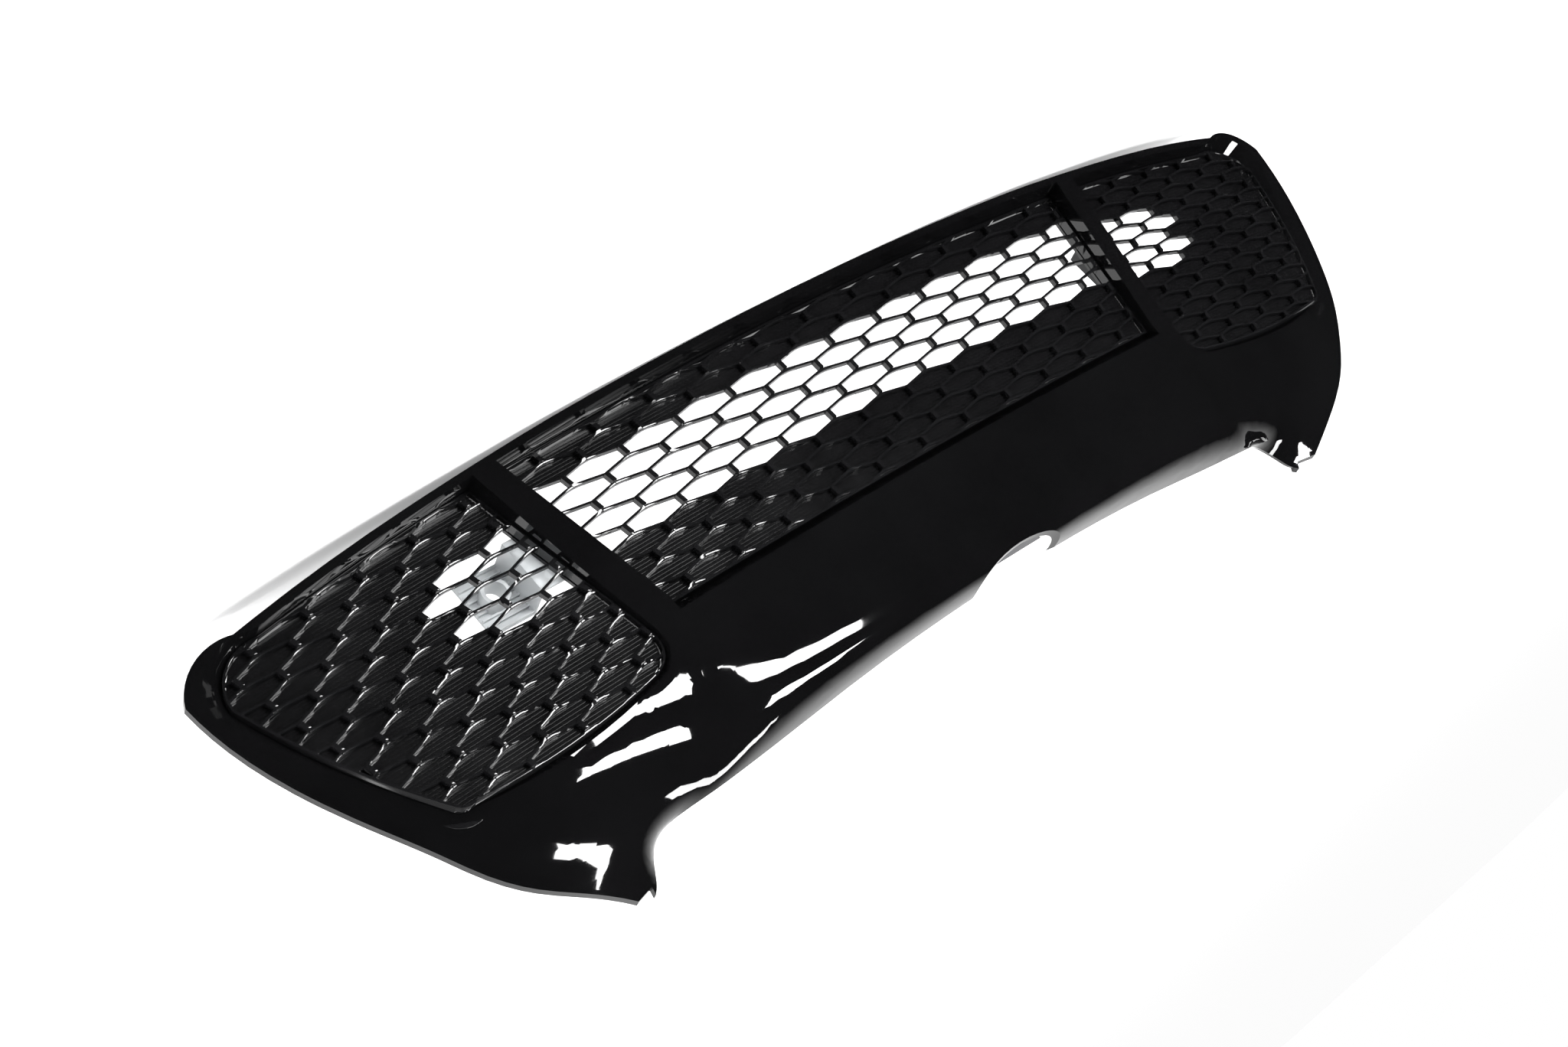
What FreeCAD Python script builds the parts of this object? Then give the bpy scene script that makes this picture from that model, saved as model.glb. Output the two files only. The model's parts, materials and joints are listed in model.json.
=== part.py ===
"""Front grille: a gloss surround with three openings, honeycomb inserts, and what holds them.

The grille stands as it does on the vehicle. +Z is up, the face looks along -Y and +X is the
vehicle's left. The model is drawn about the middle of the centre insert's lattice, and every
part is moved at the end so that the origin lies in the middle of the bounding box.
"""
import FreeCAD
import Part
import math
import os

Vec = FreeCAD.Vector

# Driving dimensions, in millimetres.
UNIT = 22.2              # half of the honeycomb's pitch along X, and the layout unit of the face
SWEEP_RADIUS = 2920.0    # plan curvature of the inserts
FAN_RADIUS = 1110.0      # the lattice columns close up towards a point this far above

SKIN = 2.8               # wall of the surround
LIP_WALL = 2.2           # wall of the return round each opening
BEVEL_WALL = 9.0         # the same where a bevel is cut into it
END_WALL = 5.0           # how far the return round the ends runs back from the face
RIM_WALL_HALF = 440.0    # half of the deeper return along the rim
BAR_HALF = 236.0         # half of the thick bar above the centre opening
BAR_LOW = 79.0
BAR_HIGH = 93.0
NOTCH_LOW = 164.3        # lowest point of the notch in the upper edge
NOTCH_RADIUS = 120.0
INSERT_BACK = 9.0        # back of the ring round each honeycomb, behind the inserts' front
STRUT_BACK = 4.2         # back of the struts inside it
FLANGE_FRONT = 8.8       # where the insert's flange starts behind the honeycomb's front
FLANGE_WALL = 2.5
FLANGE_BACK = FLANGE_FRONT + FLANGE_WALL
HEAD_STEP = 1.2          # how far each link's head stands proud of the arms
PANEL_WALL = 1.6
GAP = 0.3                # assembly clearance between neighbouring pieces

ROW = 11.85              # centre insert: one row of links to the next, along Z
SIDE_ROW = 10.84         # side inserts: the same
SIDE_PITCH = 19.84       # side inserts: half of their pitch along X
SIDE_RISE = 1.585        # side inserts: how far a row climbs in one half pitch
SIDE_START = (283.7, -22.4)  # where the side lattice counts from
SIDE_LEAN = (2.99, 0.056)    # how far a column leans in per row, and the gain per column
SIDE_CLOSE = 0.006       # how much the rows close up per column
LINK_SHARE = 0.66        # a link's length as a share of one row
LINK_WIDTH = 2.6
ARM_WIDTH = 1.7
HEAD_WIDTH = 3.4
HEAD_LENGTH_SHARE = 0.56  # a head's length as a share of one row
ARCH_HALF = 7.0          # half of the rounded top of each cell

SCREW_SHANK = 4.0
SCREW_HEAD = 13.0
BOSS = 8.0
PILOT = 4.1

# Middle of the assembly's bounding box in the drawing, with its sign changed.
ORIGIN_Y = -37.7
ORIGIN_Z = -70.4


def u(*values):
    """Layout units as millimetres."""
    return [value * UNIT for value in values]


def point(x, y, z):
    return Vec(x, y, z)


def sweep_y(x):
    """Front of the inserts at x: a circle's sagitta."""
    return SWEEP_RADIUS - math.sqrt(SWEEP_RADIUS ** 2 - x * x)


def rim_z(x):
    """Height of the thin lower rim's outer edge."""
    return -62.6 + 5.2e-5 * x ** 2 + 2.3e-10 * x ** 4


def mirrored(shape):
    return shape.mirror(Vec(0, 0, 0), Vec(1, 0, 0))


def slab(front, back, low=-150.0, high=260.0, half=560.0):
    """Everything between two offsets of the inserts' swept front."""
    def arc(offset):
        end = sweep_y(half) + offset
        return Part.Arc(point(-half, end, low), point(0, offset, low), point(half, end, low)).toShape()
    first = arc(front)
    last = arc(back)
    right = Part.makeLine(point(half, sweep_y(half) + front, low), point(half, sweep_y(half) + back, low))
    left = Part.makeLine(point(-half, sweep_y(half) + front, low), point(-half, sweep_y(half) + back, low))
    face = Part.Face(Part.Wire(Part.__sortEdges__([first, right, last, left])))
    return face.extrude(Vec(0, 0, high - low))


def flat_wire(outline, depth=None):
    """Closed wire in the XZ plane, or in the plane whose y at x is depth(x). A piece of outline is
    a list of points: two make a line, three an arc and more a smooth curve."""
    edges = []
    for piece in outline:
        points = [point(x, depth(x) if depth else 0.0, z) for x, z in piece]
        if len(points) == 2:
            edges.append(Part.makeLine(points[0], points[1]))
        elif len(points) == 3:
            edges.append(Part.Arc(points[0], points[1], points[2]).toShape())
        else:
            curve = Part.BSplineCurve()
            curve.interpolate(points)
            edges.append(curve.toShape())
    return Part.Wire(edges)


def prism(wire, front=-80.0, back=140.0):
    """The wire's area, extruded along Y from front to back."""
    solid = Part.Face(wire).extrude(Vec(0, back - front, 0))
    solid.translate(Vec(0, front, 0))
    return solid


def grown(wire, distance):
    """The wire offset outwards, or inwards when distance is negative. Its edges are redrawn as
    plain lines, arcs and smooth curves."""
    raw = Part.Face(wire).makeOffset2D(distance, 0, False, False, False).OuterWire
    samples = {"Part::GeomLine": 2, "Part::GeomCircle": 3}
    outline_points = []
    for edge in raw.OrderedEdges:
        count = samples.get(edge.Curve.TypeId, 9)
        points = [(p.x, p.z) for p in edge.discretize(Number=count)]
        outline_points.append(points)

    def apart(first, second):
        return math.hypot(first[0] - second[0], first[1] - second[1])
    first = outline_points[0]
    following = outline_points[1]
    if min(apart(first[0], p) for p in (following[0], following[-1])) < 1e-3:
        first.reverse()
    for n in range(1, len(outline_points)):
        points = outline_points[n]
        end = outline_points[n - 1][-1]
        if apart(points[-1], end) < apart(points[0], end):
            points.reverse()
        points[0] = end
    outline_points[-1][-1] = outline_points[0][0]
    return flat_wire(outline_points)


def rod(x, z, front, back, diameter):
    """Cylinder along Y."""
    return Part.makeCylinder(diameter / 2.0, back - front, point(x, front, z), Vec(0, 1, 0))


# ---------------------------------------------------------------- outlines

BEVEL_BACK = 6.0         # the bevels round the openings end this far behind the inserts' front
BEVEL_FRONT = -16.0      # and are drawn from this far in front, well clear of the skin
APRON_SPREAD = 15.4      # spread of a bevel over that depth, at the apron
END_SPREAD = 33.0        # and at the ends
BEVEL_RUN = 3.0          # a bevel's cutter runs this far on behind, inside the opening
BEVEL_INSET = 1.5        # and stays this far from the edges that have no bevel


def rim_arc(xs):
    return [(x, rim_z(x) + 5.5) for x in xs]


def centre_lines(spread):
    """Centre opening. spread lifts its upper edge."""
    low = 263.0
    top = 79.5 + spread
    high = 230.5 - 0.236 * spread
    floor = rim_arc((-low, 0.0, low))
    return [
        floor,
        [floor[-1], (high, top)],
        [(high, top), (-high, top)],
        [(-high, top), floor[0]],
    ]


def side_lines(apron, end, inset=0.0):
    """The opening at +X. apron lifts its upper edge, end moves its outer edge outwards, and inset
    draws in the rim and bar edges."""
    floor = [(x + inset, z + inset) for x, z in rim_arc((281.0, 360.0, 440.0))]
    low_corner = (478.0 + end, -6.0)
    high_corner = (414.0 + 0.9 * end, 113.0 + 0.3 * end + 0.3 * apron)
    apron_out = (402.0 + 0.5 * end, 117.0 + apron)
    apron_in = (268.0, 112.5 + apron)
    bar_high = (250.5 + inset, 88.0)
    return [
        floor,
        [floor[-1], (470.0 + 0.8 * end, -28.0 - 0.1 * end), low_corner],
        [low_corner, (449.5 + end, 57.0 + 0.2 * end), high_corner],
        [high_corner, (410.5 + 0.7 * end, 116.0 + 0.15 * end + 0.8 * apron), apron_out],
        [apron_out, (338.0 + 0.2 * end, 120.0 + apron), apron_in],
        [apron_in, (254.0 - 0.2 * apron, 104.5 + 0.8 * apron), bar_high],
        [bar_high, floor[0]],
    ]


def centre_opening():
    return flat_wire(centre_lines(0.0))


def side_opening():
    return flat_wire(side_lines(0.0, 0.0))


def side_plane(x):
    """Plane that stays within 1 mm of the swept front over a side opening."""
    return sweep_y(250.0) - 1.0 + (x - 250.0) * (sweep_y(478.0) - sweep_y(250.0)) / 228.0


def side_bevel():
    """Tapered cutter of the side opening: wide at the front, the opening's own outline behind."""
    share = BEVEL_RUN / (BEVEL_BACK - BEVEL_FRONT)
    lines = side_lines(-share * APRON_SPREAD, -share * END_SPREAD, BEVEL_INSET)
    back = flat_wire(lines, lambda x: side_plane(x) + BEVEL_BACK + BEVEL_RUN)
    lines = side_lines(APRON_SPREAD, END_SPREAD, BEVEL_INSET)
    front = flat_wire(lines, lambda x: side_plane(x) + BEVEL_FRONT)
    return Part.makeLoft([back, front], True, True)


def centre_bevel():
    """The same for the centre opening's upper edge: part of a cone about the sweep's axis."""
    top = centre_lines(0.0)[2][0][1]
    slope = APRON_SPREAD / (BEVEL_BACK - BEVEL_FRONT)
    low = top - 8.0
    profile = [
        point(0, BEVEL_BACK + BEVEL_RUN, low),
        point(0, BEVEL_BACK + BEVEL_RUN, top - slope * BEVEL_RUN),
        point(0, BEVEL_FRONT, top + APRON_SPREAD),
        point(0, BEVEL_FRONT, low),
    ]
    area = Part.Face(Part.makePolygon(profile + [profile[0]]))
    axis_place = point(0, SWEEP_RADIUS, 0)
    area.rotate(axis_place, Vec(0, 0, 1), -6.0)
    ring = area.revolve(axis_place, Vec(0, 0, 1), 12.0)
    half = 230.8
    box = Part.makeBox(2.0 * half, 400.0, 200.0, point(-half, -200.0, 0.0))
    return ring.common(box)


def outline():
    """Edge of the surround in front view. It runs free past the upper edge, where the face ends."""
    rim = [(x, rim_z(x)) for x in (-455.0, -300.0, -150.0, 0.0, 150.0, 300.0, 455.0)]
    foot_out = (337.0, 203.0)
    foot_in = (322.0, 199.0)
    clear = 260.0
    corner = [rim[-1], (487.0, -37.0), (499.5, -20.4)]
    side = [(493.0, 10.0), (466.0, 72.6), (434.0, 124.0), (396.0, 168.0), (367.0, 186.5)]
    end = [corner[-1]] + side + [foot_out]

    def other(points):
        return [(-x, z) for x, z in reversed(points)]
    return flat_wire([
        rim,
        corner,
        end,
        [foot_out, foot_in],
        [foot_in, (316.0, clear)],
        [(316.0, clear), (-316.0, clear)],
        [(-316.0, clear), (-foot_in[0], foot_in[1])],
        other([foot_out, foot_in]),
        other(end),
        other(corner),
    ])


# ---------------------------------------------------------------- face of the surround

# Rows of control points from the rim to the upper edge, for x >= 0, in layout units:
# (across, up, forward). The last column lies just outside the outline.
FACE_ROWS = [
    [(0, -3.1, 0.70), (3.5, -3.1, 0.66), (7.0, -3.0, 0.50), (10.0, -2.9, 0.30), (12.0, -2.8, 0.06),
     (13.2, -2.75, -0.05), (15.0, -2.6, -0.25), (17.0, -2.5, -0.50), (19.0, -2.4, -0.80),
     (21.0, -2.3, -1.20), (23.2, -2.1, -1.75)],
    [(0, 0.8, 0.36), (3.4, 0.8, 0.32), (6.8, 0.8, 0.20), (9.7, 0.8, 0.08), (11.2, 0.8, 0.02),
     (12.2, 0.8, -0.50), (14.4, 0.8, -0.80), (16.6, 0.8, -1.10), (18.8, 0.8, -1.45),
     (20.9, 0.8, -1.80), (22.5, 0.8, -1.92)],
    [(0, 3.4, 0.12), (3.3, 3.4, 0.09), (6.6, 3.4, 0.00), (9.5, 3.4, -0.10), (10.8, 3.4, -0.10),
     (11.8, 3.6, -0.55), (13.8, 3.8, -0.75), (15.8, 3.9, -1.00), (17.8, 3.9, -1.35),
     (19.6, 3.8, -1.80), (21.3, 3.7, -1.98)],
    [(0, 5.2, 0.12), (3.3, 5.2, 0.09), (6.6, 5.2, 0.00), (9.4, 5.2, -0.15), (10.7, 5.2, -0.30),
     (11.7, 5.4, -0.55), (13.4, 5.6, -0.50), (15.2, 5.7, -0.60), (17.0, 5.7, -1.00),
     (18.6, 5.6, -1.70), (20.2, 5.5, -2.10)],
    [(0, 6.4, 0.12), (3.3, 6.4, 0.09), (6.6, 6.4, -0.02), (9.3, 6.4, -0.20), (10.6, 6.4, -0.45),
     (11.5, 6.5, -0.85), (12.9, 6.7, -1.25), (14.4, 6.8, -1.50), (16.0, 6.8, -1.75),
     (17.5, 6.8, -2.15), (19.1, 6.7, -2.40)],
    [(0, 7.45, 0.10), (3.3, 7.45, 0.06), (6.6, 7.4, -0.08), (9.2, 7.35, -0.38), (10.6, 7.3, -0.80),
     (11.5, 7.3, -1.30), (12.7, 7.4, -1.85), (14.0, 7.5, -2.15), (15.2, 7.6, -2.35),
     (16.4, 7.7, -2.50), (18.0, 7.8, -2.60)],
    [(0, 7.75, -0.40), (3.3, 7.75, -0.50), (6.6, 7.8, -0.70), (9.2, 7.9, -1.05), (10.7, 7.95, -1.45),
     (11.7, 7.95, -1.95), (12.7, 7.9, -2.60), (13.7, 8.0, -2.85), (14.6, 8.3, -2.95),
     (15.5, 8.6, -2.90), (16.8, 8.7, -2.95)],
    [(0, 7.70, -1.20), (3.3, 7.72, -1.28), (6.6, 7.8, -1.65), (9.2, 7.95, -2.05), (10.9, 8.05, -2.15),
     (12.0, 8.05, -2.45), (12.9, 7.85, -3.15), (13.6, 7.9, -3.60), (14.1, 8.6, -3.80),
     (14.4, 9.3, -3.90), (15.6, 9.7, -3.60)],
]


def face_of_surround():
    """The gloss face as one smooth surface, without its openings."""
    poles = []
    for row in FACE_ROWS:
        half = [point(*u(across, -forward, up)) for across, up, forward in row]
        poles.append([point(-p.x, p.y, p.z) for p in reversed(half[1:])] + half)
    rows = len(poles)
    columns = len(poles[0])

    def knots(count, degree=3):
        inner = count - degree - 1
        return [degree + 1] + [1] * inner + [degree + 1], list(range(inner + 2))
    row_mults, row_knots = knots(rows)
    column_mults, column_knots = knots(columns)
    surface = Part.BSplineSurface()
    surface.buildFromPolesMultsKnots(
        poles, row_mults, column_mults, row_knots, column_knots, False, False, 3, 3)
    return surface.toShape()


# ---------------------------------------------------------------- surround

# Screw sites (x, z), seen from the front. The bar's screws clamp two inserts and a bracket.
TOP_SITES = [(-185.0, 88.0), (-92.0, 88.0), (0.0, 88.0), (92.0, 88.0), (185.0, 88.0)]
BAR_SITES = [(264.6, -22.0), (250.4, 38.0)]
SIDE_SITES = [(285.0, 125.0), (345.0, 128.5), (486.0, -8.0)]
RAIL_SITES = [(-240.0, 128.0), (-120.0, 128.0), (0.0, 128.0), (120.0, 128.0), (240.0, 128.0)]
HORN_SITE = (352.0, 163.0)
HOOK_PLACES = [-400.0, -310.0, -200.0, -70.0, 70.0, 200.0, 310.0, 400.0]
RAIL_FRONT = 22.0        # rail's front face behind the inserts' front
RAIL_WALL = 2.0
HORN_BACK = 84.0         # rear end of the horn bosses
HORN_BORE = 5.0
HORN_BORE_DEPTH = 14.0
HOOK = (9.0, 2.6, 5.6)   # across, deep and tall
HOOK_GAP = 0.4           # behind the flange it catches


def other_side(sites):
    return [(-x, z) for x, z in sites]


def opening_wires():
    right = side_opening()
    return [centre_opening(), right, mirrored(right)]


def boss(x, z, back, diameter=BOSS):
    """Screw boss from well in front of the skin to the given distance behind the inserts' front."""
    return rod(x, z, -60.0, sweep_y(x) + back, diameter)


def skin_solid(face, inside):
    thickness = Vec(0, 0.91 * SKIN, -0.63 * SKIN)
    return face.extrude(thickness).common(inside)


def notch():
    """Shallow arc cut from the middle of the upper edge."""
    return rod(0.0, NOTCH_LOW + NOTCH_RADIUS, -80.0, 140.0, 2.0 * NOTCH_RADIUS)


def hook(x):
    """Catch on the rim's wall, behind the insert's flange."""
    y = sweep_y(x)
    low = rim_z(x) + 0.6
    across, deep, tall = HOOK
    return Part.makeBox(across, deep, tall, point(x - across / 2.0, y + FLANGE_BACK + HOOK_GAP, low))


def perimeter_wall(face, behind):
    """Return along the rim and round the ends, one wall thick."""
    ring = prism(outline()).cut(prism(grown(outline(), -SKIN)))
    rim_zone = Part.makeBox(2.0 * RIM_WALL_HALF, 400.0, 40.0, point(-RIM_WALL_HALF, -100.0, -80.0))
    rim_part = ring.common(behind).common(slab(-60.0, FLANGE_BACK + 3.0)).common(rim_zone)
    end_part = ring.common(face.extrude(Vec(0, END_WALL, 0)))
    return [rim_part, end_part]


def opening_returns(to_flange):
    """Wall round each opening, thick where the bevels are cut into it."""
    pieces = []
    for wire, wall in zip(opening_wires(), (LIP_WALL, BEVEL_WALL, BEVEL_WALL)):
        ring = prism(grown(wire, wall)).cut(prism(grown(wire, -3.0)))
        pieces.append(ring.common(to_flange))
    bar = Part.makeBox(2.0 * BAR_HALF, 400.0, BAR_HIGH - BAR_LOW, point(-BAR_HALF, -100.0, BAR_LOW))
    pieces.append(bar.common(to_flange))
    return pieces


def surround():
    """The gloss moulding: skin, return round each opening, perimeter wall, bosses and hooks."""
    face = face_of_surround()
    inside = prism(outline())
    behind = face.extrude(Vec(0, 90, 0)).common(inside)
    to_flange = behind.common(slab(-60.0, FLANGE_FRONT - 0.1))
    pieces = perimeter_wall(face, behind) + opening_returns(to_flange)
    bar_and_side = BAR_SITES + SIDE_SITES
    for x, z in TOP_SITES + bar_and_side + other_side(bar_and_side):
        pieces.append(boss(x, z, FLANGE_FRONT - 0.1).common(behind))
    for x, z in RAIL_SITES:
        pieces.append(boss(x, z, RAIL_FRONT - 0.1, BOSS + 2.0).common(behind))
    for x, z in [HORN_SITE] + other_side([HORN_SITE]):
        pieces.append(rod(x, z, -60.0, HORN_BACK, BOSS + 4.0).common(behind))
    pieces += [hook(x) for x in HOOK_PLACES]
    body = skin_solid(face, inside).multiFuse(pieces)
    cuts = [prism(wire) for wire in opening_wires()]
    cuts += [centre_bevel(), side_bevel(), mirrored(side_bevel()), notch()]
    for x, z in TOP_SITES + bar_and_side + other_side(bar_and_side):
        cuts.append(rod(x, z, sweep_y(x) + BEVEL_BACK - 1.5, 60.0, PILOT))
    for x, z in RAIL_SITES:
        cuts.append(rod(x, z, sweep_y(x) + 8.0, 60.0, PILOT))
    for x, z in [HORN_SITE] + other_side([HORN_SITE]):
        cuts.append(rod(x, z, HORN_BACK - HORN_BORE_DEPTH, 120.0, HORN_BORE))
    return body.cut(Part.makeCompound(cuts))


# ---------------------------------------------------------------- honeycomb

def centre_lattice(column, row):
    """Place of a lattice node of the centre insert. Rows are straight and columns fan."""
    z = ROW * (row - 6.0)
    x = UNIT * column * (1.0 - z / FAN_RADIUS)
    return x, z


def side_lattice(column, row):
    """The same for the insert at +X, whose rows climb outwards and whose columns lean in."""
    lean, gain = SIDE_LEAN
    x = SIDE_START[0] + SIDE_PITCH * column - (lean + gain * column) * row
    z = SIDE_START[1] + SIDE_RISE * column + (SIDE_ROW - SIDE_CLOSE * column) * row
    return x, z


def cell(lattice, column, row, pitch, height, link=LINK_WIDTH, arm=ARM_WIDTH, arch=ARCH_HALF):
    """Six-sided cell between the links at column - 1 and column + 1. Its floor is rounded."""
    half_link = LINK_SHARE / 2.0
    slope = 1.0 - LINK_SHARE
    side = 1.0 - link / 2.0 / pitch
    lift = arm / 2.0 / height
    low = half_link + slope * (1.0 - side) - lift
    tip = half_link + slope - lift

    def place(across, up):
        return lattice(column + across, row + up)
    left_low = place(-side, -low)
    right_low = place(side, -low)
    right_high = place(side, low)
    left_high = place(-side, low)
    top = place(0.0, tip)
    if arch == 0.0:
        bottom = place(0.0, -tip)
        corners = [left_low, bottom, right_low, right_high, top, left_high]
        return flat_wire([[corners[n], corners[(n + 1) % 6]] for n in range(6)])
    reach = arch / pitch
    rise = slope * reach
    arc_start = place(-reach, -tip + rise)
    arc_middle = place(0.0, -tip + rise / 2.0)
    arc_end = place(reach, -tip + rise)
    return flat_wire([
        [left_low, arc_start],
        [arc_start, arc_middle, arc_end],
        [arc_end, right_low],
        [right_low, right_high],
        [right_high, top],
        [top, left_high],
        [left_high, left_low],
    ])


def link_head(lattice, column, row, pitch):
    """Flat raised head of one link."""
    half_width = HEAD_WIDTH / 2.0 / pitch
    half_length = HEAD_LENGTH_SHARE / 2.0
    corners = [
        lattice(column - half_width, row - half_length),
        lattice(column + half_width, row - half_length),
        lattice(column + half_width, row + half_length),
        lattice(column - half_width, row + half_length),
    ]
    return flat_wire([[corners[n], corners[(n + 1) % 4]] for n in range(4)])


CENTRE = {"lattice": centre_lattice, "pitch": UNIT, "height": ROW,
          "columns": range(-13, 14), "rows": range(-1, 14)}
SIDE = {"lattice": side_lattice, "pitch": SIDE_PITCH, "height": SIDE_ROW,
        "columns": range(-2, 13), "rows": range(-4, 16)}


def nodes_of(spec, parity):
    """Lattice places whose column and row add up to even (parity 0) or odd (parity 1)."""
    return [(c, r) for c in spec["columns"] for r in spec["rows"] if (c + r + parity) % 2 == 0]


def insert_spec(name):
    if name == "centre":
        return dict(CENTRE, opening=centre_opening())
    return dict(SIDE, opening=side_opening())


def inside_surround():
    return prism(grown(outline(), -SKIN - GAP))


def bolted_sites(name):
    return TOP_SITES if name == "centre" else SIDE_SITES


def flange(spec, name):
    """Ring behind the returns of the opening, with an ear at each screw."""
    ring = prism(grown(spec["opening"], 8.0)).cut(prism(grown(spec["opening"], -2.5)))
    ears = [rod(x, z, -60.0, 80.0, SCREW_HEAD) for x, z in bolted_sites(name)]
    ring = ring.multiFuse(ears).common(inside_surround())
    ring = ring.common(slab(FLANGE_FRONT, FLANGE_BACK))
    holes = [rod(x, z, -60.0, 80.0, SCREW_SHANK + 0.5) for x, z in bolted_sites(name)]
    holes += [rod(x, z, -60.0, 80.0, SCREW_SHANK + 0.5) for x, z in BAR_SITES + other_side(BAR_SITES)]
    return ring.cut(Part.makeCompound(holes))


def insert(name, stakes):
    """One honeycomb insert: ring, struts, raised link heads, flange and stakes for its panels."""
    spec = insert_spec(name)
    lattice = spec["lattice"]
    face = Part.Face(grown(spec["opening"], -0.4))
    border = Part.Face(grown(spec["opening"], -1.9))
    cells = [Part.Face(cell(lattice, c, r, spec["pitch"], spec["height"]))
             for c, r in nodes_of(spec, 1)]
    holes = Part.makeCompound(cells).common(border)
    holes = [hole for hole in holes.Faces if hole.Area > 6.0]
    bars = Part.makeCompound([hole.extrude(Vec(0, 60, 0)) for hole in holes])
    bars.translate(Vec(0, -10, 0))
    pocket = prism(grown(spec["opening"], -2.1)).common(slab(STRUT_BACK, INSERT_BACK + 4.0))
    plate = prism(face.OuterWire).common(slab(HEAD_STEP, INSERT_BACK))
    grid = plate.cut(pocket).cut(bars)
    heads = [Part.Face(link_head(lattice, c, r, spec["pitch"])) for c, r in nodes_of(spec, 0)]
    heads = Part.makeCompound(heads).common(border)
    tall = [head.extrude(Vec(0, 60, 0)) for head in heads.Faces if head.Area > 4.0]
    tall = Part.makeCompound(tall)
    tall.translate(Vec(0, -10, 0))
    tall = tall.common(slab(0.0, 2.5))
    pins = [stake(lattice, c, r) for c, r in stakes]
    return grid.multiFuse(tall.Solids + [flange(spec, name)] + pins)


# ---------------------------------------------------------------- blanking panels

STAKE = 2.2
PANEL_FRONT = STRUT_BACK + 0.1
PANEL_BACK = PANEL_FRONT + PANEL_WALL
STAKE_BACK = PANEL_BACK + 2.9
GROOVE_PITCH = 2.4
GROOVE_DEPTH = 0.5

CENTRE_LOW_STAKES = [(-8, 2), (-4, 2), (0, 2), (4, 2), (8, 2)]
CENTRE_HIGH_STAKES = [(-8, 10), (-4, 10), (0, 10), (4, 10), (8, 10)]
SIDE_STAKES = [(7, 3), (5, 7), (2, 8), (4, 12), (6, 2)]


def stake(lattice, column, row):
    """Round pin on the back of a link, for a push nut."""
    x, z = lattice(column, row)
    y = sweep_y(x)
    return rod(x, z, y + STRUT_BACK - 2.0, y + STAKE_BACK, STAKE)


def panel(name, cells, stakes, low, high):
    """Ribbed plate behind the given cells, let into the ring round the honeycomb."""
    spec = insert_spec(name)
    lattice = spec["lattice"]
    faces = [Part.Face(cell(lattice, c, r, spec["pitch"], spec["height"], 0.0, 0.0, 0.0))
             for c, r in cells]
    area = faces[0].multiFuse(faces[1:]).removeSplitter()
    area = area.common(Part.Face(grown(spec["opening"], -2.5 - GAP)))
    plate = area.extrude(Vec(0, 120, 0))
    plate.translate(Vec(0, -20, 0))
    plate = plate.common(slab(PANEL_FRONT, PANEL_BACK))
    count = int((high - low) / GROOVE_PITCH)
    grooves = [Part.makeBox(1000.0, 200.0, GROOVE_PITCH / 2.0, point(-500.0, -60.0, low + n * GROOVE_PITCH))
               for n in range(count)]
    grooves = Part.makeCompound(grooves).common(slab(PANEL_FRONT - 1.0, PANEL_FRONT + GROOVE_DEPTH))
    plate = plate.cut(grooves)
    holes = [rod(*lattice(c, r), -60.0, 90.0, STAKE + 0.5) for c, r in stakes]
    return plate.cut(Part.makeCompound(holes))


def push_nut(lattice, column, row):
    x, z = lattice(column, row)
    front = sweep_y(x) + PANEL_BACK + 0.1
    ring = rod(x, z, front, front + 0.9, 7.5)
    return ring.cut(rod(x, z, front - 1.0, front + 2.0, STAKE + 0.1))


def push_nuts(lattice, stakes):
    return Part.makeCompound([push_nut(lattice, c, r) for c, r in stakes])


def is_open_side(column, row):
    """Open cells of a side insert, by the link below the cell."""
    column_reach = {0: 2, 1: 3, 2: 2, 3: 3, 4: 2}
    return row in column_reach and column <= column_reach[row]


def centre_cells(rows):
    return [(c, r) for c, r in nodes_of(CENTRE, 1) if r in rows and abs(c) <= 12]


def side_cells():
    return [(c, r) for c, r in nodes_of(SIDE, 1) if not is_open_side(c, r - 1)]


# ---------------------------------------------------------------- screws

HEAD_HEIGHT = 2.2
HEAD_SHARE = 0.62        # the raised head's diameter as a share of its flange's
HEAD_FLANGE = 1.0
RECESS = 3.4
RECESS_DEPTH = 1.6


def screw(x, z, seat, length, head=SCREW_HEAD):
    """Flanged screw with a round recess, driven towards -Y. seat is the y under its head."""
    top = seat + HEAD_FLANGE + HEAD_HEIGHT
    flange_disc = rod(x, z, seat, seat + HEAD_FLANGE, head)
    drive = rod(x, z, seat + HEAD_FLANGE / 2.0, top, head * HEAD_SHARE)
    body = rod(x, z, seat - length, seat + HEAD_FLANGE, SCREW_SHANK)
    tip = Part.makeCone(SCREW_SHANK / 2.0, 0.4, 2.0, point(x, seat - length, z), Vec(0, -1, 0))
    recess = rod(x, z, top - RECESS_DEPTH, top + 10.0, RECESS)
    return flange_disc.multiFuse([drive, body, tip]).cut(recess)


def insert_screws(sites):
    seat = FLANGE_BACK + 0.05
    return Part.makeCompound([screw(x, z, sweep_y(x) + seat, 3.8, 9.5) for x, z in sites])


def bar_screws():
    """Wide-flanged screws at +X. Each clamps two inserts and a bracket's foot."""
    seat = FLANGE_BACK + BRACKET_WALL + 0.1
    return Part.makeCompound([screw(x, z, sweep_y(x) + seat, 5.8) for x, z in BAR_SITES])


# ---------------------------------------------------------------- brackets behind the bars

BRACKET_WALL = 2.0


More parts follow.
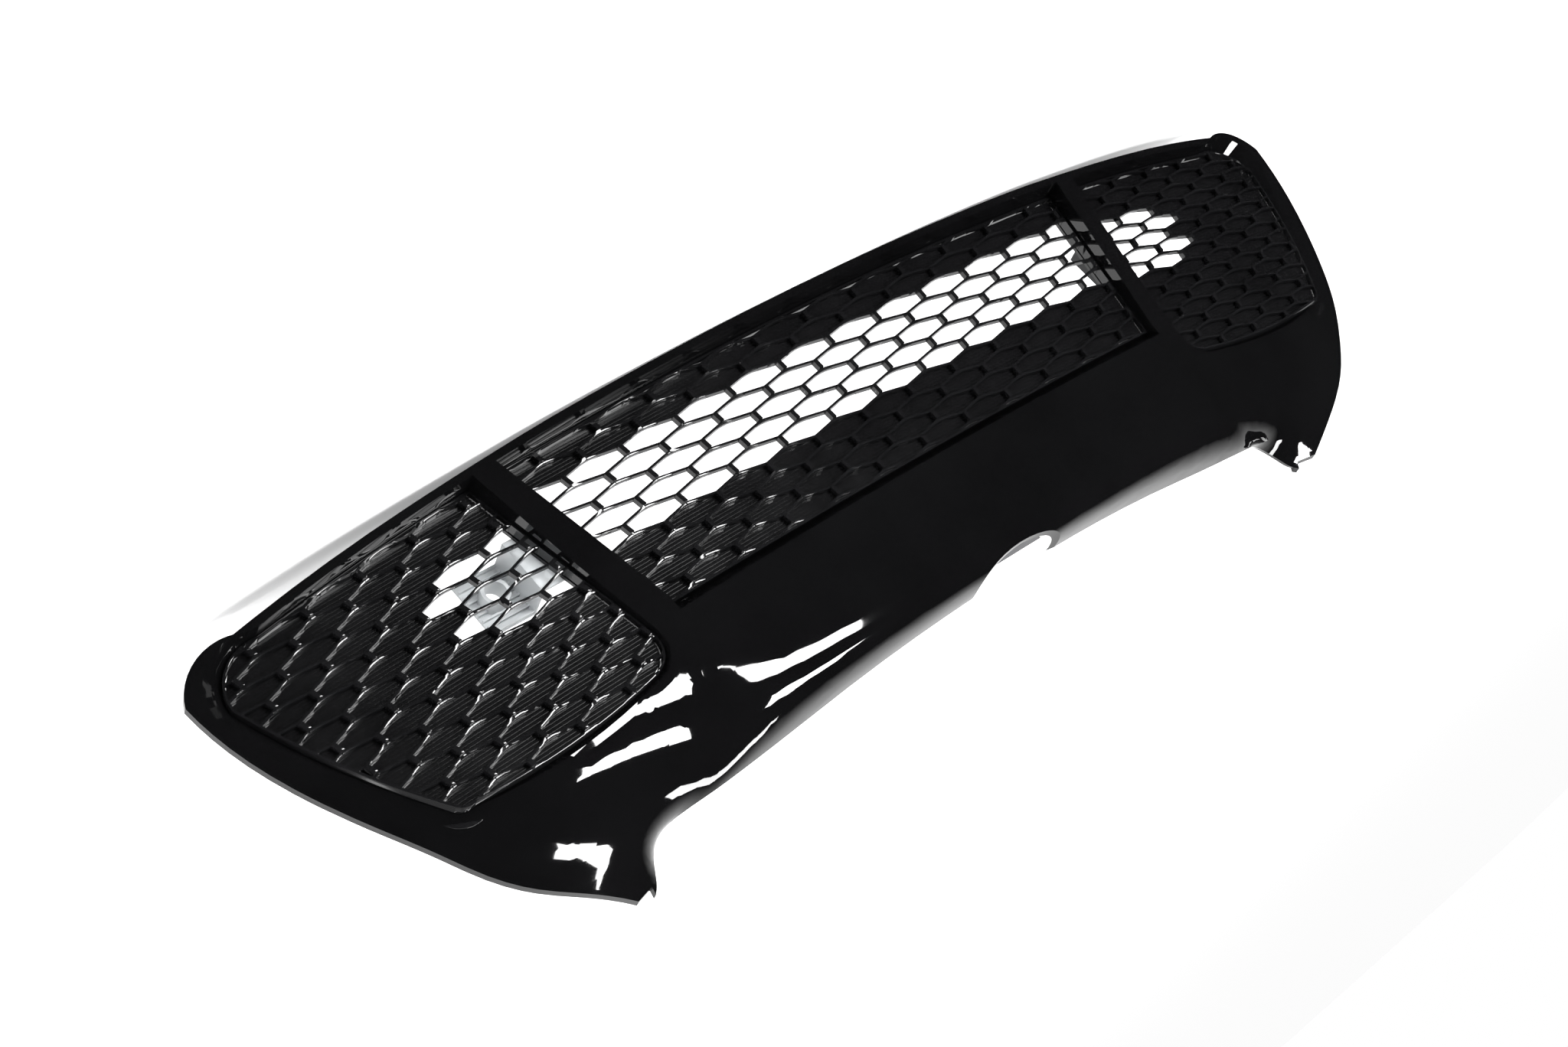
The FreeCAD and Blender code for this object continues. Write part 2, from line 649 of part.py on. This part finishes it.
def bar_strip():
    """Foot of a bracket, clamped on both inserts' flanges by the bar's screws (at +X)."""
    low = BAR_SITES[0]
    high = BAR_SITES[1]
    lean = (high[0] - low[0]) / (high[1] - low[1])
    z_low = low[1] - 9.0
    z_high = high[1] + 9.0
    x_low = low[0] - 9.0 * lean
    x_high = high[0] + 9.0 * lean
    half = 7.0
    wire = flat_wire([
        [(x_low - half, z_low), (x_low + half, z_low)],
        [(x_low + half, z_low), (x_high + half, z_high)],
        [(x_high + half, z_high), (x_high - half, z_high)],
        [(x_high - half, z_high), (x_low - half, z_low)],
    ])
    strip = prism(wire).common(slab(FLANGE_BACK + 0.05, FLANGE_BACK + 0.05 + BRACKET_WALL))
    holes = [rod(x, z, -60.0, 90.0, SCREW_SHANK + 0.5) for x, z in BAR_SITES]
    return strip.cut(Part.makeCompound(holes))


WEB_START = 258.0        # the brackets' webs, at +X, leave the foot here
WEB_WIDTH = 24.0
BEND = 280.0             # and turn to the rear here


def web_front():
    """y at which the brackets' webs overlap the back of the foot."""
    return sweep_y(BEND - 1.0) + FLANGE_BACK + 0.15


def ribbed_bracket():
    """Pale bracket with a ribbed wing and a round socket, behind the insert at +X."""
    low = -14.0
    tall = 40.0
    deep = 26.0
    reach = 34.0
    front = web_front()
    back = front + deep - BRACKET_WALL
    web = Part.makeBox(WEB_WIDTH, BRACKET_WALL, tall, point(WEB_START, front, low))
    wing = Part.makeBox(BRACKET_WALL, deep, tall, point(BEND, front, low))
    plate = Part.makeBox(reach, BRACKET_WALL, tall, point(BEND, back, low))
    ribs = [Part.makeBox(reach, 3.0, 1.4, point(BEND, back - 2.6, low + 4.8 * n)) for n in range(9)]
    socket = rod(BEND + 19.0, low + tall / 2.0, back - 11.2, back + 1.8, 19.0)
    bore = rod(BEND + 19.0, low + tall / 2.0, back - 17.2, back + 14.8, 14.0)
    return bar_strip().multiFuse([web, wing, plate, socket] + ribs).cut(bore)


def air_deflector():
    """Dark folded deflector with gussets, behind the insert at -X."""
    low = -20.0
    tall = 50.0
    deep = 34.0
    count = 4
    front = web_front()
    web = Part.makeBox(WEB_WIDTH, BRACKET_WALL, tall, point(WEB_START, front, low))
    blade = Part.makeBox(BRACKET_WALL, deep, tall, point(BEND, front, low))
    lip = Part.makeBox(12.0, BRACKET_WALL, tall, point(BEND + 1.0, front + deep - BRACKET_WALL, low))
    gussets = []
    for n in range(count):
        z = low + 6.0 + n * (tall - 14.0) / (count - 1)
        inner = front + BRACKET_WALL - 0.2
        corners = [point(266.0, inner, z), point(BEND + 1.0, inner, z), point(BEND + 1.0, inner + 21.0, z)]
        gussets.append(Part.Face(Part.makePolygon(corners + [corners[0]])).extrude(Vec(0, 0, BRACKET_WALL)))
    return mirrored(bar_strip().multiFuse([web, blade, lip] + gussets))


# ---------------------------------------------------------------- upper rail

RAIL_LOW = 114.0
RAIL_HIGH = 150.0
RAIL_HALF = 262.0
RAIL_DEPTH = 40.0
UPPER_HOLE = 6.6
UPPER_PLACES = [-210.0, -70.0, 70.0, 210.0]
UPPER_BACK = 30.0        # upper holes behind the rail's front
SLEEVE = 9.2             # outer diameter of the sleeve in each upper hole
COLLAR = 15.0
COLLAR_WALL = 1.0
WINDOW = (64.0, 14.0)    # lightening windows: across and tall
WINDOW_LOW = 121.0
WINDOW_PLACES = [-180.0, -60.0, 60.0, 180.0]
SEAL_FRONT = 4.0         # foam strip behind the rail's front
SEAL_WIDTH = 10.0
SEAL_HEIGHT = 5.0


def rail():
    """Folded rail behind the apron. Its upper flange carries the bolts to the vehicle."""
    web = slab(RAIL_FRONT, RAIL_FRONT + RAIL_WALL, RAIL_LOW, RAIL_HIGH, RAIL_HALF)
    top = slab(RAIL_FRONT, RAIL_FRONT + RAIL_DEPTH, RAIL_HIGH - RAIL_WALL, RAIL_HIGH, RAIL_HALF)
    windows = []
    across, tall = WINDOW
    for x in WINDOW_PLACES:
        windows.append(Part.makeBox(across, 200.0, tall, point(x - across / 2.0, -60.0, WINDOW_LOW)))
    for x, z in RAIL_SITES:
        windows.append(rod(x, z, -60.0, 120.0, SCREW_SHANK + 0.6))
    for x in UPPER_PLACES:
        y = sweep_y(x) + RAIL_FRONT + UPPER_BACK
        windows.append(Part.makeCylinder(SLEEVE / 2.0 + 0.2, 40.0, point(x, y, 130.0), Vec(0, 0, 1)))
    return web.fuse(top).cut(Part.makeCompound(windows))


def rail_screws():
    seat = RAIL_FRONT + RAIL_WALL + 0.05
    return Part.makeCompound([screw(x, z, sweep_y(x) + seat, 12.0, 11.0) for x, z in RAIL_SITES])


def limiter(x):
    """Steel sleeve that takes the bolt's load through the rail's upper flange."""
    y = sweep_y(x) + RAIL_FRONT + UPPER_BACK
    low = RAIL_HIGH - RAIL_WALL - 1.0
    top = RAIL_HIGH + 0.1 + COLLAR_WALL
    sleeve = Part.makeCylinder(SLEEVE / 2.0, top - low, point(x, y, low), Vec(0, 0, 1))
    collar = Part.makeCylinder(COLLAR / 2.0, COLLAR_WALL, point(x, y, RAIL_HIGH + 0.1), Vec(0, 0, 1))
    bore = Part.makeCylinder(UPPER_HOLE / 2.0, 40.0, point(x, y, 130.0), Vec(0, 0, 1))
    return sleeve.fuse(collar).cut(bore)


def limiters():
    return Part.makeCompound([limiter(x) for x in UPPER_PLACES])


def foam_seal():
    """Soft strip laid along the rail's upper flange, in front of the bolts."""
    front = RAIL_FRONT + SEAL_FRONT
    return slab(front, front + SEAL_WIDTH, RAIL_HIGH, RAIL_HIGH + SEAL_HEIGHT, RAIL_HALF - 8.0)


# ---------------------------------------------------------------- horns

def horn_pad():
    """Rubber washer on the horn's boss, against the wing."""
    x, z = HORN_SITE
    pad = rod(x, z, HORN_BACK + 0.05, HORN_BACK + 2.6, BOSS + 4.0)
    return pad.cut(rod(x, z, 0.0, 140.0, HORN_BORE + 1.0))


def main():
    os.makedirs("parts", exist_ok=True)
    side_insert = insert("side", SIDE_STAKES)
    side_panel = panel("side", side_cells(), SIDE_STAKES, -62.0, 132.0)
    shapes = {
        "surround": surround(),
        "mesh_centre": insert("centre", CENTRE_LOW_STAKES + CENTRE_HIGH_STAKES),
        "mesh_left": side_insert,
        "mesh_right": mirrored(side_insert),
        "blank_centre_lower": panel("centre", centre_cells(range(-1, 4)), CENTRE_LOW_STAKES, -62.0, -30.0),
        "blank_centre_upper": panel("centre", centre_cells(range(9, 15)), CENTRE_HIGH_STAKES, 30.0, 90.0),
        "blank_left": side_panel,
        "blank_right": mirrored(side_panel),
        "push_nuts_centre": push_nuts(centre_lattice, CENTRE_LOW_STAKES + CENTRE_HIGH_STAKES),
        "push_nuts_left": push_nuts(side_lattice, SIDE_STAKES),
        "push_nuts_right": mirrored(push_nuts(side_lattice, SIDE_STAKES)),
        "insert_screws_centre": insert_screws(TOP_SITES),
        "insert_screws_left": insert_screws(SIDE_SITES),
        "insert_screws_right": mirrored(insert_screws(SIDE_SITES)),
        "bar_screws_left": bar_screws(),
        "bar_screws_right": mirrored(bar_screws()),
        "ribbed_bracket": ribbed_bracket(),
        "air_deflector": air_deflector(),
        "upper_rail": rail(),
        "rail_screws": rail_screws(),
        "rail_bushings": limiters(),
        "foam_seal": foam_seal(),
        "horn_washers": Part.makeCompound([horn_pad(), mirrored(horn_pad())]),
    }
    for name, shape in shapes.items():
        shape.translate(Vec(0, ORIGIN_Y, ORIGIN_Z))
        shape.exportStep("parts/" + name + ".step")


main()
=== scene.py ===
"""Front grille: materials, lights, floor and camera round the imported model."""

import json
import math

import bpy
from mathutils import Matrix, Vector


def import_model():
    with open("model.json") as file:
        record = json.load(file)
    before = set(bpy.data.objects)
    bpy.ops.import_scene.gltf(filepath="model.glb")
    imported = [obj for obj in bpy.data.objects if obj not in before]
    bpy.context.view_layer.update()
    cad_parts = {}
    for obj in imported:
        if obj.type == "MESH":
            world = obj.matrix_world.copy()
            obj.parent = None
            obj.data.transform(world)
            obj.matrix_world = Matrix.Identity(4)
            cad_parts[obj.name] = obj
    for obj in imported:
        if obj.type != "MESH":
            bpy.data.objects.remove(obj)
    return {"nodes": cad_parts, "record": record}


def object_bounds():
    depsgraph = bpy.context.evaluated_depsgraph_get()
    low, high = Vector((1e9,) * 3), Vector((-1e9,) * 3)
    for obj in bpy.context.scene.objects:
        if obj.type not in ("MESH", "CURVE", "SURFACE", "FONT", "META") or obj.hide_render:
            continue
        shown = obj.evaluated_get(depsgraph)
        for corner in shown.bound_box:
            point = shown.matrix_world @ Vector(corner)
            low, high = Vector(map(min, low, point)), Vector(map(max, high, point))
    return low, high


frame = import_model()
CAD_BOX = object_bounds()

# Camera, in metres and in the model's frame. The grille is seen rim-up, so the view is rolled.
CAMERA_PLACE = Vector((1.0183, -1.1767, 0.4523))
CAMERA_FORWARD = Vector((-0.586, 0.754, -0.297))
CAMERA_UP = Vector((-0.399, -0.588, -0.704))
CAMERA_LENS = 56.25
CAMERA_SENSOR = 36.0

FLOOR_SIZE = 60.0
FLOOR_GAP = 0.0005
FLOOR_COLOUR = (0.97, 0.97, 0.97)
SKY_STRENGTH = 1.0
ROOM_STRENGTH = 0.01     # what reflections see in front of the grille
WALL_STRENGTH = 2.0      # and behind it
WALL_START = 0.15        # sine of the angle towards +Y at which the wall begins to show
WALL_FULL = 0.60

EDGE_WELD = 0.00001
EDGE_CHAMFER = 0.0004
EDGE_ANGLE = math.radians(35.0)

GRILLE_MIDDLE = (0.0, 0.0, 0.0)
FACE_LEFT = (0.15, 0.0, 0.05)    # middle of the face's nearer half


# ---------------------------------------------------------------- node helpers

def new_material(name):
    """An empty node material: returns the material, its tree and its shader."""
    material = bpy.data.materials.new(name)
    material.use_nodes = True
    tree = material.node_tree
    return material, tree, tree.nodes["Principled BSDF"]


def coordinates(tree, scale):
    """Object coordinates, scaled."""
    source = tree.nodes.new("ShaderNodeTexCoord")
    mapping = tree.nodes.new("ShaderNodeMapping")
    mapping.inputs["Scale"].default_value = scale
    tree.links.new(source.outputs["Object"], mapping.inputs["Vector"])
    return mapping.outputs["Vector"]


def noise(tree, vector, scale, detail=4.0, roughness=0.55):
    node = tree.nodes.new("ShaderNodeTexNoise")
    node.inputs["Scale"].default_value = scale
    node.inputs["Detail"].default_value = detail
    node.inputs["Roughness"].default_value = roughness
    tree.links.new(vector, node.inputs["Vector"])
    return node.outputs["Fac"]


def ranged(tree, value, low, high, start=0.3, end=0.7):
    """The value spread from start..end to low..high."""
    node = tree.nodes.new("ShaderNodeMapRange")
    node.inputs["From Min"].default_value = start
    node.inputs["From Max"].default_value = end
    node.inputs["To Min"].default_value = low
    node.inputs["To Max"].default_value = high
    tree.links.new(value, node.inputs["Value"])
    return node.outputs["Result"]


def blended(tree, factor, first, second):
    node = tree.nodes.new("ShaderNodeMix")
    node.data_type = "RGBA"
    node.inputs["A"].default_value = (*first, 1.0)
    node.inputs["B"].default_value = (*second, 1.0)
    tree.links.new(factor, node.inputs["Factor"])
    return node.outputs["Result"]


def bump(tree, height, distance, strength):
    node = tree.nodes.new("ShaderNodeBump")
    node.inputs["Distance"].default_value = distance
    node.inputs["Strength"].default_value = strength
    tree.links.new(height, node.inputs["Height"])
    return node.outputs["Normal"]


def grey(value):
    """Near-neutral dark tone, a shade towards blue."""
    return (value, value, 1.08 * value)


# ---------------------------------------------------------------- materials

def gloss_black():
    """Black moulded in, polished: faint orange peel, and a haze from handling and dust."""
    material, tree, shader = new_material("gloss_black")
    space = coordinates(tree, (1.0, 1.0, 1.0))
    haze = noise(tree, space, 14.0, 5.0)
    peel = noise(tree, space, 190.0, 2.0)
    colour = blended(tree, haze, grey(0.001), grey(0.003))
    tree.links.new(colour, shader.inputs["Base Color"])
    tree.links.new(ranged(tree, haze, 0.02, 0.05), shader.inputs["Roughness"])
    tree.links.new(bump(tree, peel, 0.0001, 0.03), shader.inputs["Normal"])
    shader.inputs["IOR"].default_value = 1.5
    return material


def satin(name, dark, light, roughness, grain_scale=700.0, grain=0.25):
    """Moulded plastic with a fine grain and slow changes of tone."""
    material, tree, shader = new_material(name)
    space = coordinates(tree, (1.0, 1.0, 1.0))
    slow = noise(tree, space, 22.0, 4.0)
    fine = noise(tree, space, grain_scale, 3.0)
    tree.links.new(blended(tree, slow, dark, light), shader.inputs["Base Color"])
    tree.links.new(ranged(tree, slow, *roughness), shader.inputs["Roughness"])
    tree.links.new(bump(tree, fine, 0.0001, grain), shader.inputs["Normal"])
    shader.inputs["IOR"].default_value = 1.5
    return material


def pale_plastic():
    """Natural plastic that lets a little light through."""
    pale = (0.55, 0.58, 0.60)
    paler = (0.70, 0.72, 0.73)
    material = satin("pale_plastic", pale, paler, (0.25, 0.40), grain_scale=300.0, grain=0.1)
    shader = material.node_tree.nodes["Principled BSDF"]
    shader.inputs["Transmission Weight"].default_value = 0.35
    return material


def metal(name, dark, light, roughness):
    """Plated steel with fine scratches."""
    material, tree, shader = new_material(name)
    scratches = noise(tree, coordinates(tree, (1.0, 9.0, 1.0)), 420.0, 6.0)
    cloud = noise(tree, coordinates(tree, (1.0, 1.0, 1.0)), 60.0, 4.0)
    tree.links.new(blended(tree, cloud, dark, light), shader.inputs["Base Color"])
    tree.links.new(ranged(tree, scratches, *roughness), shader.inputs["Roughness"])
    tree.links.new(bump(tree, scratches, 0.00005, 0.2), shader.inputs["Normal"])
    shader.inputs["Metallic"].default_value = 1.0
    return material


def foam():
    """Open-cell foam: small pores, painted darker towards their bottoms as painted shade."""
    material, tree, shader = new_material("foam")
    space = coordinates(tree, (1.0, 1.0, 1.0))
    pores = tree.nodes.new("ShaderNodeTexVoronoi")
    pores.inputs["Scale"].default_value = 900.0
    tree.links.new(space, pores.inputs["Vector"])
    pore_depth_and_shade = pores.outputs["Distance"]
    # Pore depth, used for the bump and for the colour: the colour darkens towards each pore's
    # bottom, which is painted shade in the pores.
    tree.links.new(blended(tree, pore_depth_and_shade, grey(0.006), grey(0.035)), shader.inputs["Base Color"])
    tree.links.new(bump(tree, pore_depth_and_shade, 0.0006, 0.8), shader.inputs["Normal"])
    shader.inputs["Roughness"].default_value = 0.95
    return material


def satin_black():
    """The honeycombs: nearly as glossy as the surround."""
    return satin("satin_black", grey(0.002), grey(0.006), (0.08, 0.16), grain=0.05)


def panel_black():
    return satin("panel_black", grey(0.002), grey(0.005), (0.14, 0.22), grain=0.06)


def duct_black():
    return satin("duct_black", grey(0.014), grey(0.026), (0.45, 0.62), grain_scale=600.0, grain=0.5)


def rail_grey():
    """Glass-filled plastic, dull."""
    return satin("rail_grey", grey(0.030), grey(0.055), (0.48, 0.66), grain_scale=500.0, grain=0.6)


def rubber():
    return satin("rubber", grey(0.010), grey(0.022), (0.60, 0.80), grain=0.4)


def zinc():
    return metal("zinc", (0.50, 0.50, 0.49), (0.66, 0.66, 0.63), (0.25, 0.42))


def screw_black():
    return metal("screw_black", grey(0.030), grey(0.075), (0.30, 0.50))


MATERIALS = {
    "gloss_black": gloss_black(),
    "satin_black": satin_black(),
    "panel_black": panel_black(),
    "zinc": zinc(),
    "screw_black": screw_black(),
    "pale_plastic": pale_plastic(),
    "duct_black": duct_black(),
    "rail_grey": rail_grey(),
    "foam": foam(),
    "rubber": rubber(),
}


def finish_nodes():
    """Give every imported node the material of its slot."""
    for part in frame["record"]["subparts"]:
        piece = frame["nodes"][part["node"]]
        for slot in piece.material_slots:
            slot.material = MATERIALS[part["material_slot"]]


def break_edges():
    """Small chamfer on the honeycombs' edges, which catches the light as moulded edges do."""
    for name in ("mesh_centre", "mesh_left", "mesh_right"):
        piece = frame["nodes"][name]
        weld = piece.modifiers.new("weld", "WELD")
        weld.merge_threshold = EDGE_WELD
        chamfer = piece.modifiers.new("chamfer", "BEVEL")
        chamfer.width = EDGE_CHAMFER
        chamfer.segments = 1
        chamfer.limit_method = "ANGLE"
        chamfer.angle_limit = EDGE_ANGLE


# ---------------------------------------------------------------- stage, lights and camera

def floor():
    """Plain pale floor under the grille."""
    low = CAD_BOX[0][2] - FLOOR_GAP
    half = FLOOR_SIZE / 2.0
    mesh = bpy.data.meshes.new("floor")
    corners = [(-half, -half, low), (half, -half, low), (half, half, low), (-half, half, low)]
    mesh.from_pydata(corners, [], [(0, 1, 2, 3)])
    material, _, shader = new_material("floor")
    shader.inputs["Base Color"].default_value = (*FLOOR_COLOUR, 1.0)
    shader.inputs["Roughness"].default_value = 0.9
    shader.inputs["Specular IOR Level"].default_value = 0.0
    mesh.materials.append(material)
    piece = bpy.data.objects.new("floor", mesh)
    bpy.context.scene.collection.objects.link(piece)
    piece.visible_glossy = False


def area_light(name, place, aim, size, power):
    """Rectangular softbox at place, facing aim."""
    data = bpy.data.lights.new(name, "AREA")
    data.shape = "RECTANGLE"
    data.size = size[0]
    data.size_y = size[1]
    data.energy = power
    lamp = bpy.data.objects.new(name, data)
    direction = Vector(aim) - Vector(place)
    lamp.location = place
    lamp.rotation_euler = direction.to_track_quat("-Z", "Y").to_euler()
    bpy.context.scene.collection.objects.link(lamp)


def world():
    """White sky for the eye and the floor. Reflections see a dark room with a pale wall behind."""
    surroundings = bpy.data.worlds.new("surroundings")
    surroundings.use_nodes = True
    tree = surroundings.node_tree
    white = tree.nodes["Background"]
    white.inputs["Color"].default_value = (1.0, 1.0, 1.0, 1.0)
    white.inputs["Strength"].default_value = SKY_STRENGTH
    room = tree.nodes.new("ShaderNodeBackground")
    direction = tree.nodes.new("ShaderNodeTexCoord")
    parts = tree.nodes.new("ShaderNodeSeparateXYZ")
    tree.links.new(direction.outputs["Generated"], parts.inputs["Vector"])
    wall = ranged(tree, parts.outputs["Y"], ROOM_STRENGTH, WALL_STRENGTH, WALL_START, WALL_FULL)
    tree.links.new(wall, room.inputs["Strength"])
    path = tree.nodes.new("ShaderNodeLightPath")
    mix = tree.nodes.new("ShaderNodeMixShader")
    tree.links.new(path.outputs["Is Glossy Ray"], mix.inputs["Fac"])
    tree.links.new(white.outputs["Background"], mix.inputs[1])
    tree.links.new(room.outputs["Background"], mix.inputs[2])
    tree.links.new(mix.outputs["Shader"], tree.nodes["World Output"].inputs["Surface"])
    bpy.context.scene.world = surroundings


def softboxes():
    """Two boxes in front give the face its patches of light. The others light the edges."""
    area_light("front_low", (-0.62, -2.30, 0.42), FACE_LEFT, (0.95, 0.62), 60.0)
    area_light("front_high", (-0.55, -1.45, 1.75), FACE_LEFT, (0.85, 0.40), 45.0)
    area_light("side", (2.3, -0.2, 1.3), GRILLE_MIDDLE, (0.9, 0.9), 30.0)
    area_light("overhead", (0.0, 0.1, 3.2), GRILLE_MIDDLE, (2.0, 0.6), 80.0)


def camera():
    data = bpy.data.cameras.new("camera")
    data.lens = CAMERA_LENS
    data.sensor_width = CAMERA_SENSOR
    data.clip_start = 0.01
    eye = bpy.data.objects.new("camera", data)
    forward = CAMERA_FORWARD.normalized()
    right = forward.cross(CAMERA_UP).normalized()
    up = right.cross(forward)
    turn = Matrix((right, up, -forward)).transposed()
    eye.matrix_world = Matrix.Translation(CAMERA_PLACE) @ turn.to_4x4()
    bpy.context.scene.collection.objects.link(eye)
    bpy.context.scene.camera = eye


finish_nodes()
break_edges()
floor()
world()
softboxes()
camera()
bpy.context.scene.view_settings.view_transform = "Standard"
